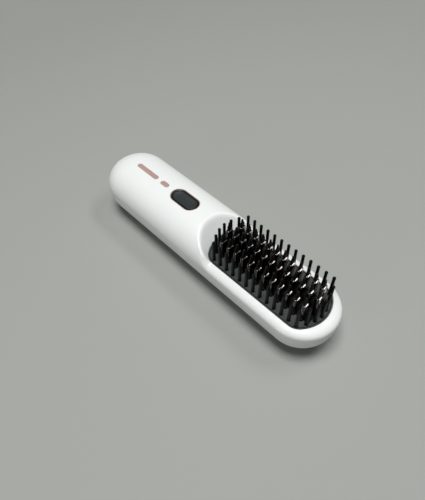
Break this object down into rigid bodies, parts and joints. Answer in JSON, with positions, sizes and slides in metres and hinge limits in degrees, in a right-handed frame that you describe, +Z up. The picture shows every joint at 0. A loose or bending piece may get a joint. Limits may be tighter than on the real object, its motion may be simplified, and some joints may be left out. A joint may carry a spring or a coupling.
{
  "type": "hot_comb",
  "caption": "Cordless heated straightening comb: white rounded body, push button on the handle, metal heating teeth inside a ring of dark guard pins",
  "frame": {"origin": "centre of the body's footprint at the bottom of the belly", "axes": "+X towards the comb head, +Z up out of the comb's face, Y across"},
  "size_m": [0.1826, 0.0426, 0.0457],
  "materials": {
    "white_plastic": "satin",
    "rose_gold": "satin",
    "black_plastic": "satin",
    "slate_plastic": "satin",
    "dark_nylon": "matte",
    "coated_metal": "gloss",
    "bare_steel": "satin",
    "ceramic": "matte",
    "mica": "satin",
    "dark_resin": "matte",
    "amber_glass": "gloss",
    "red_wire": "satin",
    "circuit_board": "satin",
    "cell_wrap": "gloss"
  },
  "bodies": {
    "housing": {"top_shell": "white_plastic", "bottom_shell": "white_plastic", "button_trim": "rose_gold", "button_frame": "black_plastic", "tact_switch": "bare_steel", "charge_light_bar": "rose_gold", "status_light": "rose_gold", "cover_plate": "slate_plastic", "guard_bristles": "dark_nylon", "heating_plate": "coated_metal", "tooth_tips": "dark_nylon", "heater_strip": "ceramic", "mica_sheet": "mica", "heater_clamp": "bare_steel", "heater_tray": "dark_resin", "heater_screws": "bare_steel", "thermistor": "amber_glass", "thermal_fuse": "bare_steel", "heater_leads": "red_wire", "main_board": "circuit_board", "board_screws": "bare_steel", "led_lamps": "ceramic", "battery_cells": "cell_wrap", "battery_cradle": "dark_resin", "nickel_strips": "bare_steel", "battery_leads": "red_wire", "charge_board": "circuit_board", "usb_socket": "bare_steel", "charge_leads": "red_wire", "shell_screws": "bare_steel", "screw_plugs": "white_plastic"},
    "power_button": {"button_cap": "slate_plastic", "switch_plunger": "black_plastic"}
  },
  "joints": [
    {"name": "power_press", "type": "slide", "parent": "housing", "child": "power_button", "axis": [0, 0, -1], "range_m": [0, 0.0004], "stiffness_N_per_m": 2500, "springref_m": -0.0004}
  ]
}
